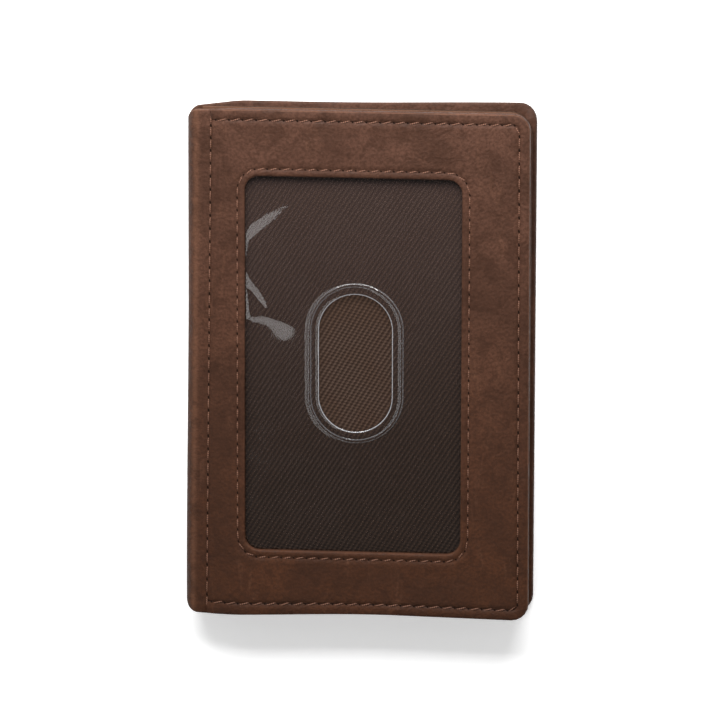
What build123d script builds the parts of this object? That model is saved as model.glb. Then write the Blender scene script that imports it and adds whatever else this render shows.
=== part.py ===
from build123d import *
from math import asin, atan2, cos, degrees, hypot, radians, sin, tan
import os

# A slim book-style leather wallet with an ID window in its front cover, in millimetres.
# The closed wallet lies on its back cover: +X points to the free edge, +Y to the pocket mouths and
# +Z out of the front cover. The origin is the centre of its footprint on the surface it lies on.
# The front leaf is modelled first. The back leaf has the same layers, mirrored through the plane
# where the two leaves meet. Between them the fold's leather is the spine, hinged to each leaf's bend.

# Overall sizes
leaf_width = 72.4  # from the outside of the fold to the free edge
leaf_height = 108.4  # at the free edge
fold_shortening = 1.3  # the bottom edge rises by this much from the free edge to the fold
corner_radius = 5.5  # the two corners of the free edge
fold_corner_radius = 2.0  # the ends of the fold

# Layers of a leaf, from its outer face to its inner face
cover_thickness = 1.0
hem_thickness = 0.4
card_gap = 0.9
lining_thickness = 0.25
board_thickness = 0.5
panel_thickness = 0.4
facing_thickness = 0.4
facing_count = 3
tongue_thickness = 0.25
leaf_gap = 0.8  # the space between the two closed leaves

# Fold
fold_radius = 3.0  # the outside of the fold
ramp_run = 10.0  # from the outside of the fold to where a leaf reaches its full thickness
spine_clearance = 0.06  # between the spine and a leaf's bend
fold_lining_thickness = 0.25
fold_thickness = cover_thickness + fold_lining_thickness

# Window, with its clear film and the thumb slot in the film
window_below_top = 14.2
window_above_bottom = 14.2
window_from_free_edge = 14.9
window_from_ramp = 2.3
window_corner_radius = 3.0
film_thickness = 0.25
film_seam = 5.0  # the film's margin behind the leather, above and to the free edge's side
thumb_slot_width = 15.3  # between its straight sides
thumb_slot_length = 29.4  # between its round ends
bead_width = 2.3
bead_height = 0.4

# Pockets
side_rim_width = 7.0  # the folded edge that closes a pocket at the free edge
bottom_rim_width = 11.0  # the folded edge that a card stands on
top_hem_width = 8.0
inner_edge_inset = 0.9  # from a cover's edge to the layers inside it
mouth_below_top = 22.0  # the first card slot's mouth
mouth_step = 11.0
facing_overlap = 8.0  # how far a facing reaches below the next one's mouth
tongue_side_gap = 3.4
tongue_bottom_gap = 3.2
stiffener_thickness = 0.4

# Stitching
stitch_pitch = 2.85
stitch_length = 1.95
stitch_width = 0.55
stitch_height = 0.28
groove_width = 0.9
groove_depth = 0.34
edge_stitch_inset = 2.3
window_stitch_offset = 1.6
fold_stitch_top = 5.1  # the seam along the fold leans: its distance from the fold at the top
fold_stitch_bottom = 3.95

clearance = 0.1  # between pieces that lie side by side
beyond = 20.0  # how far a cutting shape runs past the wallet

# Heights above the plane where the leaves meet
inner_face = leaf_gap / 2
facing_levels = [inner_face + facing_thickness * (facing_count - 1 - i) for i in range(facing_count)]
panel_level = inner_face + facing_thickness * facing_count
board_level = panel_level + panel_thickness
lining_level = board_level + board_thickness
pocket_level = lining_level + lining_thickness
hem_level = pocket_level + card_gap
cover_level = hem_level + hem_thickness
outer_face = cover_level + cover_thickness
mid_height = outer_face  # of the plane where the leaves meet, over the surface below

# Places in the leaf
fold_edge = -leaf_width / 2
free_edge = leaf_width / 2
top_edge = leaf_height / 2
bottom_edge = -leaf_height / 2
bottom_lean = atan2(fold_shortening, leaf_width)
mouths = [top_edge - mouth_below_top - mouth_step * i for i in range(facing_count)]

# The ramp is the stretch of leather that rises from the fold, tangent to its arc, to the flat leaf
fold_centre = fold_edge + fold_radius
ramp_end = fold_edge + ramp_run
ramp_angle = atan2(outer_face, ramp_end - fold_centre) - asin(
    fold_radius / hypot(ramp_end - fold_centre, outer_face)
)

# Round the fold, as angles from straight up: each leaf's bend is half as long as the spine
arc_start = degrees(ramp_angle)
hinge_angle = (arc_start + 90) / 2
spine_gap = degrees(spine_clearance / 2 / fold_radius)  # half the clearance

window_width = leaf_width - ramp_run - window_from_ramp - window_from_free_edge
window_height = leaf_height - window_below_top - window_above_bottom
window_x = ramp_end + window_from_ramp + window_width / 2
window_y = top_edge - window_below_top - window_height / 2
pocket_low = bottom_edge + bottom_rim_width  # what a card in the window's pocket stands on


def ramp_clear_x(height):
    """Where the inside of the cover's ramp is at this height over the meeting plane."""
    return ramp_end - (outer_face - cover_thickness / cos(ramp_angle) - height) / tan(ramp_angle)


lining_left = ramp_clear_x(pocket_level) + clearance
panel_left = ramp_clear_x(board_level) + clearance
flat_left = ramp_end + cover_thickness * tan(ramp_angle / 2) + clearance  # under the flat leather


def bottom_at(x):
    """The bottom edge's y at x. The edge leans up towards the fold."""
    return bottom_edge + (free_edge - x) * tan(bottom_lean)


def outline(inset=0.0, left=fold_edge - beyond):
    """A leaf seen from the front, its edges moved in by inset and its fold side cut off at left."""
    right = free_edge - inset
    rise = inset / cos(bottom_lean)
    sheet = make_face(
        Polyline(
            (left, top_edge - inset),
            (right, top_edge - inset),
            (right, bottom_at(right) + rise),
            (left, bottom_at(left) + rise),
            close=True,
        )
    )
    corners = sheet.vertices().filter_by(lambda v: v.X > right - clearance)
    return fillet(corners, corner_radius - inset)


def band(low, high):
    """A strip right across the wallet, from y = low to y = high."""
    return Pos(0, (low + high) / 2) * Rectangle(leaf_width + 4 * beyond, high - low)


def plate(sketch, level, thickness):
    """A flat piece of the front leaf, its inner side at this level over the meeting plane."""
    return extrude(Pos(0, 0, mid_height + level) * sketch, thickness)


def to_back(shape):
    """The back leaf's copy of a front leaf's piece."""
    return mirror(shape, about=Plane.XY.offset(mid_height))


def fold_point(depth, angle):
    """A point of the fold, depth below its outside, at an angle from straight up to the fold side."""
    radius = fold_radius - depth
    return (fold_centre - radius * sin(radians(angle)), radius * cos(radians(angle)))


def ramp_line(depth, right):
    """The line of the leather depth below its outside, from x = right along the flat to the fold."""
    return [
        (right, outer_face - depth),
        (ramp_end + depth * tan(ramp_angle / 2), outer_face - depth),
        fold_point(depth, arc_start),
    ]


def fold_section(near, far, start, stop, right=None):
    """The section of the leather between two depths, round the fold from one angle to another.

    With right, it goes on from the start of the arc, up the ramp and along the flat to x = right."""
    middle = (start + stop) / 2
    outer = ThreePointArc(*[fold_point(near, a) for a in (start, middle, stop)])
    inner = ThreePointArc(*[fold_point(far, a) for a in (start, middle, stop)])
    end = Line(outer @ 1, inner @ 1)
    if right is None:
        return make_face(outer + inner + end + Line(outer @ 0, inner @ 0))
    flat = Polyline(*reversed(ramp_line(far, right)), *ramp_line(near, right))
    return make_face(outer + inner + end + flat)


def trimmed(section):
    """A section of the leaf or fold drawn out to the wallet's height, with its outline."""
    bar = extrude(Plane.XZ * Pos(0, mid_height) * section, leaf_height, both=True)
    sheet = outline(left=fold_edge)
    ends = sheet.vertices().filter_by(lambda v: v.X < fold_edge + clearance)
    return bar & extrude(fillet(ends, fold_corner_radius), 2 * mid_height)


def window_outline(offset=0.0):
    """The window's rounded rectangle, moved out by offset."""
    sheet = RectangleRounded(
        window_width + 2 * offset, window_height + 2 * offset, window_corner_radius + offset
    )
    return Pos(window_x, window_y) * sheet


def fold_seam_x(y):
    """Where the leaning seam along the fold is, at y."""
    share = (y - bottom_edge) / leaf_height
    return fold_edge + fold_stitch_bottom + (fold_stitch_top - fold_stitch_bottom) * share


# Seams, as lines seen from the front. Both start and end in the same needle holes.
seam_top = top_edge - edge_stitch_inset
seam_right = free_edge - edge_stitch_inset
seam_low = bottom_at(fold_seam_x(bottom_edge)) + edge_stitch_inset
seam_start = (fold_seam_x(seam_top), seam_top)
seam_end = (fold_seam_x(seam_low), seam_low)
edge_seam = FilletPolyline(
    seam_start,
    (seam_right, seam_top),
    (seam_right, bottom_at(seam_right) + edge_stitch_inset),
    seam_end,
    radius=corner_radius - edge_stitch_inset,
)
fold_seam = Line(seam_start, seam_end)
window_seam = window_outline(window_stitch_offset).face().outer_wire()


def groove(seam):
    """The shallow channel that a seam's stitches lie in, along the cover's surface."""
    skin = trimmed(fold_section(0, groove_depth, arc_start, 90, free_edge))
    return skin & extrude(trace(seam, groove_width), 2 * mid_height)


def on_cover(x, y, along):
    """A place on the floor of a groove, its x axis along the seam and its z axis off the leather."""
    if x > ramp_end - stitch_length / 2:
        return Plane((x, y, mid_height + outer_face - groove_depth), x_dir=along, z_dir=(0, 0, 1))
    height = outer_face - (ramp_end - x) * tan(ramp_angle) - groove_depth / cos(ramp_angle)
    uphill = (along.X, along.Y, along.X * tan(ramp_angle))
    normal = (-sin(ramp_angle), 0, cos(ramp_angle))
    return Plane((x, y, mid_height + height), x_dir=uphill, z_dir=normal)


def inside_level(y):
    """The level of the leaf's innermost face at y: the panel, or the facing that covers it there."""
    low = y - stitch_length / 2
    covering = [level for mouth, level in zip(mouths, facing_levels) if low < mouth]
    return min(covering, default=panel_level)


def inside_leaf(x, y, along):
    """A place on the leaf's inner face, its z axis towards the other leaf."""
    return Plane((x, y, mid_height + inside_level(y)), x_dir=along, z_dir=(0, 0, -1))


def stitches(seams, place):
    """The stitches of some seams as one thread, evenly spaced, each one laid by place."""
    stitch = extrude(SlotOverall(stitch_length, stitch_width), stitch_height)
    laid = []
    for seam in seams:
        count = round(seam.length / stitch_pitch)
        for i in range(count):
            share = (i + 0.5) / count
            point = seam @ share
            laid.append(place(point.X, point.Y, seam % share).location * stitch)
    return Compound(laid)


def leaf_cover():
    """A leaf's leather: flat leaf, ramp and first bend of the fold, with its edges turned in."""
    skin = trimmed(fold_section(0, cover_thickness, arc_start, hinge_angle - spine_gap, free_edge))
    under = Polyline(*ramp_line(cover_thickness / 2, free_edge), (free_edge, 0), close=True)
    inside = trimmed(make_face(under))
    sheet = outline(left=lining_left)
    pocket_right = free_edge - side_rim_width
    pocket = Pos(pocket_right, pocket_low) * Rectangle(
        leaf_width, leaf_height + beyond, align=(Align.MAX, Align.MIN)
    )
    rim = plate(sheet - pocket, pocket_level, cover_level - pocket_level)
    hem = plate(sheet & band(top_edge - top_hem_width, top_edge), hem_level, hem_thickness)
    return skin + ((rim + hem) & inside) - groove(edge_seam) - groove(fold_seam)


def front_cover():
    """The front leaf's leather, with its window and the groove of the window's seam."""
    return leaf_cover() - groove(window_seam) - extrude(window_outline(), 2 * mid_height)


def window_film():
    """The clear film behind the window, with the raised bead round its thumb slot."""
    right = window_x + window_width / 2 + film_seam
    high = window_y + window_height / 2 + film_seam
    low = pocket_low + clearance
    sheet = Pos((flat_left + right) / 2, (low + high) / 2) * Rectangle(right - flat_left, high - low)
    upright = Pos(window_x, window_y) * Rot(0, 0, 90)
    slot = upright * SlotOverall(thumb_slot_length, thumb_slot_width)
    bead = upright * SlotOverall(thumb_slot_length + 2 * bead_width, thumb_slot_width + 2 * bead_width)
    level = cover_level - film_thickness
    whole = plate(sheet, level, film_thickness) + plate(bead, cover_level, bead_height)
    return whole - plate(slot, level, film_thickness + bead_height)


def stiffener():
    """The board behind the back leaf's cover, in the pocket for notes."""
    right = free_edge - side_rim_width - clearance
    high = top_edge - top_hem_width - clearance
    low = pocket_low + clearance
    sheet = Pos((flat_left + right) / 2, (low + high) / 2) * Rectangle(right - flat_left, high - low)
    return plate(sheet, cover_level - stiffener_thickness, stiffener_thickness)


def facing(i):
    """The leather strip of card slot i, counted from the top. The last one reaches the bottom."""
    sheet = outline(inner_edge_inset, panel_left)
    low = bottom_edge if i == facing_count - 1 else mouths[i + 1] - facing_overlap
    return plate(sheet & band(low, mouths[i]), facing_levels[i], facing_thickness)


def tongue(i):
    """The cloth tongue that hangs below facing i, behind the facings under it."""
    left = panel_left + tongue_side_gap
    right = free_edge - inner_edge_inset - tongue_side_gap
    high = mouths[i + 1] - facing_overlap
    low = bottom_edge + fold_shortening + inner_edge_inset + tongue_bottom_gap
    sheet = Pos((left + right) / 2, (low + high) / 2) * Rectangle(right - left, high - low)
    level = facing_levels[i] + facing_thickness - tongue_thickness
    return plate(sheet, level, tongue_thickness)


def fold_lining_end():
    """The end of the fold's lining that is glued to the leaf's ramp, up to the panel's edge."""
    bend_end = hinge_angle - spine_gap
    lining = trimmed(fold_section(cover_thickness, fold_thickness, arc_start, bend_end, free_edge))
    reach = panel_left - clearance
    keep = Pos(reach, 0) * Rectangle(leaf_width, 2 * leaf_height, align=(Align.MAX, Align.CENTER))
    return lining & extrude(keep, 2 * mid_height)


def leaf_pieces():
    """The pieces that both leaves have, by name, as the front leaf holds them."""
    inner_sheet = outline(inner_edge_inset, lining_left)
    pieces = {
        "lining": plate(inner_sheet, lining_level, lining_thickness),
        "board": plate(inner_sheet, board_level, board_thickness),
        "panel": plate(outline(inner_edge_inset, panel_left), panel_level, panel_thickness),
        "fold_lining": fold_lining_end(),
        "edge_thread": stitches([edge_seam], on_cover),
        "fold_thread": stitches([fold_seam], on_cover),
        "bobbin_thread": stitches([edge_seam, fold_seam], inside_leaf),
    }
    for i in range(facing_count):
        pieces[f"slot_facing_{i + 1}"] = facing(i)
    for i in range(facing_count - 1):
        pieces[f"slot_tongue_{i + 1}"] = tongue(i)
    return pieces


def spine(near, far):
    """The spine between two depths."""
    return trimmed(fold_section(near, far, hinge_angle + spine_gap, 180 - hinge_angle - spine_gap))


def wallet():
    """Every piece of the wallet, by name."""
    pieces = {
        "front_cover": front_cover(),
        "window_film": window_film(),
        "window_thread": stitches([window_seam], on_cover),
        "back_cover": to_back(leaf_cover()),
        "back_stiffener": to_back(stiffener()),
        "spine_leather": spine(0, cover_thickness),
        "spine_lining": spine(cover_thickness, fold_thickness),
    }
    for name, piece in leaf_pieces().items():
        pieces[f"front_{name}"] = piece
        pieces[f"back_{name}"] = to_back(piece)
    return pieces


if __name__ == "__main__":
    os.makedirs("parts", exist_ok=True)
    for name, piece in wallet().items():
        export_step(piece, f"parts/{name}.step")
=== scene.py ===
"""A minimalist wallet: two leather leaves joined by a fold, one with a clear window over a twill lining."""

import logging
import math
from dataclasses import dataclass, field
from enum import Enum
from typing import Callable, Sequence

import bpy
import numpy as np
from mathutils import Matrix, Vector, noise


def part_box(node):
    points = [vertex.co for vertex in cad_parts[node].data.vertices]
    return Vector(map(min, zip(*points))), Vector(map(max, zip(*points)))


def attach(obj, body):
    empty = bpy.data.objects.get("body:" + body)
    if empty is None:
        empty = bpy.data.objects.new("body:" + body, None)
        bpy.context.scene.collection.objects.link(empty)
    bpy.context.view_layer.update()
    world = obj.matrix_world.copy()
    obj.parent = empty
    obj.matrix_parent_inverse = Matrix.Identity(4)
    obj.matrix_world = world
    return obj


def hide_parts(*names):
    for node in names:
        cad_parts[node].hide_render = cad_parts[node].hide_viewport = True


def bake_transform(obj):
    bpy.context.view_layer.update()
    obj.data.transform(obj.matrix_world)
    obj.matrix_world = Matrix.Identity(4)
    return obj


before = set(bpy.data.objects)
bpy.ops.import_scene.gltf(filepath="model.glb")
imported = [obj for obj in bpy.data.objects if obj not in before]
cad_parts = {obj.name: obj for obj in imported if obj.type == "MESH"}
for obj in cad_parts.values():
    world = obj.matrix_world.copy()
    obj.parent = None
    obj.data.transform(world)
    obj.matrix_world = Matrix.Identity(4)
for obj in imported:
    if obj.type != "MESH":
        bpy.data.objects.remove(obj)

log = logging.getLogger("wallet")
MM = 0.001
Profile = list[tuple[float, float, float]]
Colour = tuple[int, int, int]
Pair = tuple[float, float]
Shape = tuple[np.ndarray, list[list[int]], np.ndarray]
LONGEST_RAY = 90.0
HALVINGS = 40


class Side(Enum):
    """The leaf that a piece belongs to, with the way its outside faces."""

    FRONT = 1
    BACK = -1

    @property
    def body(self) -> str:
        """The body that the leaf's pieces ride on."""
        return "front_leaf" if self is Side.FRONT else "back_leaf"

    @property
    def word(self) -> str:
        """The leaf's name at the start of its pieces' names."""
        return "front" if self is Side.FRONT else "back"

    @property
    def hide_shift(self) -> float:
        """How far into the hide the leaf's pattern is taken, in millimetres, so that the leaves differ."""
        return 0.0 if self is Side.FRONT else 90.0


class Part(Enum):
    """What is picked on an open piece."""

    POINT = "VERT"
    EDGE = "EDGE"


# ---------------------------------------------------------------- the bench


def clear_bench() -> None:
    """Leaves edit mode and deselects everything."""
    if bpy.context.object and bpy.context.object.mode != "OBJECT":
        bpy.ops.object.mode_set(mode="OBJECT")
    bpy.ops.object.select_all(action="DESELECT")


def settle(obj: bpy.types.Object, name: str) -> bpy.types.Object:
    """Names a piece and puts its place into its mesh.

    Args:
        obj: The piece.
        name: Its name.

    Returns:
        The piece, at the origin, unturned and unscaled.
    """
    clear_bench()
    obj.name = name
    obj.data.name = name
    obj.select_set(True)
    bpy.context.view_layer.objects.active = obj
    bpy.ops.object.transform_apply(location=True, rotation=True, scale=True)
    return obj


def mark(obj: bpy.types.Object, key: str, values: np.ndarray) -> None:
    """Stores one vector or number on each point of a mesh.

    Args:
        obj: The piece.
        key: The attribute's name.
        values: One row of three, or one number, for each point.
    """
    kind = "FLOAT_VECTOR" if values.ndim == 2 else "FLOAT"
    layer = obj.data.attributes.new(key, kind, "POINT")
    layer.data.foreach_set("vector" if values.ndim == 2 else "value", values.astype(np.float32).ravel())


def open_all() -> None:
    """Opens the active piece in edit mode with all of it selected."""
    bpy.ops.object.mode_set(mode="EDIT")
    bpy.ops.mesh.select_all(action="SELECT")


def face_outwards() -> None:
    """Turns the faces of the open piece outwards and leaves edit mode."""
    bpy.ops.mesh.normals_make_consistent(inside=False)
    bpy.ops.object.mode_set(mode="OBJECT")


def points_of(obj: bpy.types.Object) -> np.ndarray:
    """The places of a piece's points, in millimetres."""
    return np.array([v.co for v in obj.data.vertices]) / MM


def move_points(obj: bpy.types.Object, points: np.ndarray) -> None:
    """Moves a piece's points to places in millimetres."""
    obj.data.vertices.foreach_set("co", (points * MM).ravel())


def lay_skin(name: str, points: np.ndarray, flat: np.ndarray, wear_and_painted_light: np.ndarray,
             loop_rows: bool = False, loop_cols: bool = False, cap_cols: bool = False) -> bpy.types.Object:
    """Makes a skin by drawing a flat grid over rows and columns of points.

    Args:
        name: The piece's name.
        points: The places of the grid's points in millimetres, rows by columns by three.
        flat: Where each point lies on the uncut hide, in millimetres.
        wear_and_painted_light: How far each point is painted pale, where worn and as a painted highlight, or darkened
            as painted shade in a groove where it is negative.
        loop_rows: Whether the last row meets the first.
        loop_cols: Whether the last column meets the first.
        cap_cols: Whether the first and last columns are closed over.

    Returns:
        The closed skin.
    """
    def grown(a: np.ndarray) -> np.ndarray:
        """Adds the rows and columns that close the skin.

        Args:
            a: The values on the open grid.

        Returns:
            The values on the closed grid.
        """
        if cap_cols:
            ends = [np.repeat(a[:, i:i + 1].mean(0, keepdims=True), len(a), 0) for i in (0, -1)]
            a = np.concatenate([ends[0], a, ends[1]], 1)
        if loop_rows:
            a = np.concatenate([a, a[:1]], 0)
        return np.concatenate([a, a[:, :1]], 1) if loop_cols else a

    points, flat, wear_and_painted_light = grown(points), grown(flat), grown(wear_and_painted_light[..., None])[..., 0]
    rows, cols = points.shape[:2]
    clear_bench()
    bpy.ops.mesh.primitive_grid_add(x_subdivisions=cols - 1, y_subdivisions=rows - 1, size=1, calc_uvs=False)
    obj = bpy.context.object
    count = len(obj.data.vertices)
    if count != rows * cols:
        raise ValueError(f"{name}: the grid has {count} points, and {rows * cols} are needed")
    start = np.zeros(count * 3)
    obj.data.vertices.foreach_get("co", start)
    start = start.reshape(-1, 3)
    col = np.rint((start[:, 0] + 0.5) * (cols - 1)).astype(int)
    row = np.rint((start[:, 1] + 0.5) * (rows - 1)).astype(int)
    move_points(obj, points[row, col])
    mark(obj, "hide_place", flat[row, col] * MM)
    mark(obj, "wear_and_painted_light", wear_and_painted_light[row, col])
    open_all()
    bpy.ops.mesh.remove_doubles(threshold=2e-6)
    face_outwards()
    bpy.ops.object.shade_smooth()
    return settle(obj, name)


def ripple(x: np.ndarray, y: np.ndarray, size: float, seed: float) -> np.ndarray:
    """Slow, even ups and downs between about -1 and 1.

    Args:
        x: Places across, in millimetres.
        y: Places along, in millimetres.
        size: The distance from one rise to the next.
        seed: Which part of the pattern is used.

    Returns:
        The rise at each place.
    """
    xs, ys = np.broadcast_arrays(np.asarray(x, float), np.asarray(y, float))
    values = [noise.noise(Vector((a / size, b / size, seed))) for a, b in zip(xs.ravel(), ys.ravel())]
    return np.array(values).reshape(xs.shape) * 1.6


def node_box(node: str) -> tuple[np.ndarray, np.ndarray]:
    """A CAD node's lowest and highest corners, in millimetres."""
    low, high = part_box(node)
    return np.array(low) / MM, np.array(high) / MM


def stretch(obj: bpy.types.Object, size: np.ndarray, name: str) -> None:
    """Stretches a new flat piece of unit size, and settles it.

    Args:
        obj: The piece.
        size: Its width and height, in millimetres.
        name: Its name.
    """
    open_all()
    bpy.ops.transform.resize(value=(size[0] * MM, size[1] * MM, 1))
    bpy.ops.object.mode_set(mode="OBJECT")
    settle(obj, name)


def pick(obj: bpy.types.Object, part: Part, test: Callable[[np.ndarray], bool]) -> None:
    """Selects some of a piece's points or edges and leaves it open in edit mode.

    Args:
        obj: The piece.
        part: Whether points or edges are picked.
        test: Tells from the rows of a part's points, in millimetres, whether it is picked.
    """
    bpy.ops.object.mode_set(mode="EDIT")
    bpy.ops.mesh.select_mode(type=part.value)
    bpy.ops.mesh.select_all(action="DESELECT")
    bpy.ops.object.mode_set(mode="OBJECT")
    places = points_of(obj)
    for each in obj.data.edges if part is Part.EDGE else obj.data.vertices:
        each.select = bool(test(places[list(each.vertices) if part is Part.EDGE else [each.index]]))
    bpy.ops.object.mode_set(mode="EDIT")


def skin_rows(rows: Sequence[tuple], columns: int) -> tuple[np.ndarray, np.ndarray, np.ndarray]:
    """Spreads rows of three values over the columns of a skin.

    Args:
        rows: For each row, three values that are numbers or have one number for each column.
        columns: How many columns the skin has.

    Returns:
        The three values, each rows by columns.
    """
    first, second, third = (np.stack([np.broadcast_to(row[k], columns) for row in rows]) for k in range(3))
    return first, second, third


def ease(value: np.ndarray, low: float, high: float) -> np.ndarray:
    """A smooth step from 0 at low to 1 at high."""
    t = np.clip((np.asarray(value, float) - low) / (high - low), 0, 1)
    return t * t * (3 - 2 * t)


# ------------------------------------------------------------- the finishes


class Recipe:
    """A material that is being put together from shader nodes."""

    def __init__(self, name: str) -> None:
        """Starts a material with an empty Principled shader.

        Args:
            name: The material's name.
        """
        self.material = bpy.data.materials.new(name)
        self.material.use_nodes = True
        self.tree = self.material.node_tree
        self.shader = self.tree.nodes["Principled BSDF"]

    def node(self, kind: str, inputs: dict | None = None, **settings: object) -> bpy.types.Node:
        """Adds a node.

        Args:
            kind: The node's type.
            inputs: Values or sockets for its inputs, by name or number.
            settings: Its own settings.

        Returns:
            The node.
        """
        made = self.tree.nodes.new(kind)
        for key, value in settings.items():
            setattr(made, key, value)
        for key, value in (inputs or {}).items():
            self.join(made.inputs[key], value)
        return made

    def join(self, socket: bpy.types.NodeSocket, value: object) -> None:
        """Links a socket into an input, or sets the input's own value.

        Args:
            socket: The input.
            value: Another node's output, or a plain value.
        """
        if isinstance(value, bpy.types.NodeSocket):
            self.tree.links.new(value, socket)
        else:
            socket.default_value = value

    def hide_place(self) -> bpy.types.NodeSocket:
        """Where each point lies on the uncut hide or cloth."""
        return self.node("ShaderNodeAttribute", attribute_name="hide_place").outputs["Vector"]

    def wear_and_painted_light(self) -> bpy.types.NodeSocket:
        """How far each point is painted pale, where worn and as a painted highlight, or darkened as painted shade in
        a groove.
        """
        return self.node("ShaderNodeAttribute", attribute_name="wear_and_painted_light").outputs["Fac"]

    def object_place(self) -> bpy.types.NodeSocket:
        """The point's own place."""
        return self.node("ShaderNodeTexCoord").outputs["Object"]

    def cloud(self, place: object, scale: float, detail: float = 4, rough: float = 0.6,
              twist: float = 0.0) -> bpy.types.NodeSocket:
        """Soft cloudy noise.

        Args:
            place: Where it is read.
            scale: How many clouds there are in a metre.
            detail: How many finer layers it has.
            rough: How strong the finer layers are.
            twist: How far it is swirled.

        Returns:
            Its value, from 0 to 1.
        """
        made = self.node("ShaderNodeTexNoise", {"Vector": place, "Scale": scale, "Detail": detail,
                                                "Roughness": rough, "Distortion": twist})
        return made.outputs["Fac"]

    def spread(self, value: object, low: float, high: float, to_low: float = 0,
               to_high: float = 1) -> bpy.types.NodeSocket:
        """A value spread from one range to another, smoothly and with its ends held.

        Args:
            value: The value.
            low: Where its range starts.
            high: Where its range ends.
            to_low: What the start becomes.
            to_high: What the end becomes.

        Returns:
            The spread value.
        """
        made = self.node("ShaderNodeMapRange", {0: value, 1: low, 2: high, 3: to_low, 4: to_high},
                         interpolation_type="SMOOTHSTEP")
        return made.outputs["Result"]

    def sum(self, kind: str, *values: object) -> bpy.types.NodeSocket:
        """A sum, product or other arithmetic on numbers."""
        return self.node("ShaderNodeMath", dict(enumerate(values)), operation=kind).outputs[0]

    def dye(self, amount: object, a: object, b: object) -> bpy.types.NodeSocket:
        """Two colours mixed, from the first at an amount of 0 to the second at 1."""
        return self.node("ShaderNodeMix", {0: amount, 6: a, 7: b}, data_type="RGBA").outputs[2]

    def relief(self, height: object, depth: float, under: object = None) -> bpy.types.NodeSocket:
        """A bump, over another bump if there is one.

        Args:
            height: How high each point stands, from 0 to 1.
            depth: What a height of 1 is, in metres.
            under: The bump below it.

        Returns:
            The bumped normal.
        """
        made = self.node("ShaderNodeBump", {"Height": height, "Distance": depth, "Strength": 1.0})
        if under is not None:
            self.join(made.inputs["Normal"], under)
        return made.outputs["Normal"]

    def finish(self, **inputs: object) -> bpy.types.Material:
        """Sets the shader's inputs.

        Args:
            inputs: Values or sockets, by the input's name with underscores for its spaces.

        Returns:
            The finished material.
        """
        for key, value in inputs.items():
            self.join(self.shader.inputs[key.replace("_", " ")], value)
        return self.material


def tone(red: int, green: int, blue: int) -> tuple[float, float, float, float]:
    """A colour given in screen values, as light values."""
    parts = [c / 255 for c in (red, green, blue)]
    return (*[c / 12.92 if c <= 0.04045 else ((c + 0.055) / 1.055) ** 2.4 for c in parts], 1.0)


@dataclass(frozen=True)
class Leather:
    """Waxed leather: cloudy brown with a fine grain, paler where it is worn and as painted highlights on its edges,
    lips and fold, darker in its seam grooves and creases as painted shade, and painted lighter towards the top of
    each leaf and darker towards the bottom as painted light.
    """

    name: str
    base: Colour = (74, 49, 38)
    # low: painted shade, the colour towards the bottom of each leaf, where the top lamp's light falls off.
    low: Colour = (64, 37, 22)
    dark: Colour = (44, 26, 17)
    pale: Colour = (104, 71, 53)
    # groove: painted shade, the colour in the seam grooves and creases.
    groove: Colour = (38, 23, 16)
    rough: float = 0.6
    grain: float = 0.00011

    def make(self) -> bpy.types.Material:
        """Makes the leather's material.

        Returns:
            The material.
        """
        r = Recipe(self.name)
        place = r.hide_place()
        broad = r.cloud(place, 60, 5, 0.6, 0.5)
        patch = r.cloud(place, 260, 6, 0.6, 0.9)
        fleck = r.cloud(place, 1500, 3, 0.6)
        streak_place = r.node("ShaderNodeMapping", {"Vector": place, "Scale": (1.0, 0.32, 1.0),
                                                    "Rotation": (0, 0, 0.35)})
        streak = r.cloud(streak_place.outputs[0], 310, 6, 0.65, 0.8)
        along = r.node("ShaderNodeSeparateXYZ", {"Vector": place}).outputs["Y"]
        # Painted light: from the shaded low colour at the bottom of each leaf to the base colour at the top.
        painted_light_falloff = r.dye(r.spread(along, -0.054, 0.054), tone(*self.low), tone(*self.base))
        colour = r.dye(r.spread(broad, 0.3, 0.68, 0.3, 1.0), tone(*self.dark), painted_light_falloff)
        colour = r.dye(r.spread(patch, 0.36, 0.54), r.dye(0.5, colour, tone(*self.dark)), colour)
        colour = r.dye(r.spread(streak, 0.54, 0.78, 0, 0.22), colour, tone(*self.pale))
        colour = r.dye(r.spread(fleck, 0.38, 0.64, 0.0, 0.5), colour, tone(*self.dark))
        # Paler where the attribute is positive, where worn and as painted highlights on edges, lips and the fold;
        # darker as painted shade in the seam grooves and creases where it is negative.
        wear_highlight_shade = r.sum("MULTIPLY", r.wear_and_painted_light(), r.spread(patch, 0.3, 0.6, 0.55, 1.0))
        colour = r.dye(r.spread(wear_highlight_shade, 0.05, 1.0, 0, 0.5), colour, tone(*self.pale))
        colour = r.dye(r.spread(wear_highlight_shade, -0.9, -0.1, 0.75, 0), colour, tone(*self.groove))
        cell = r.node("ShaderNodeTexVoronoi", {"Vector": place, "Scale": 1500, "Randomness": 1.0}, feature="F1")
        bump = r.relief(r.sum("ADD", r.sum("MULTIPLY", cell.outputs["Distance"], 0.6), fleck), self.grain)
        bump = r.relief(patch, 0.00016, bump)
        bump = r.relief(streak, 0.00016, bump)
        shine = r.spread(patch, 0.35, 0.65, self.rough - 0.06, self.rough + 0.08)
        return r.finish(Base_Color=colour, Roughness=shine, Normal=bump, Specular_IOR_Level=0.1)


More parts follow.
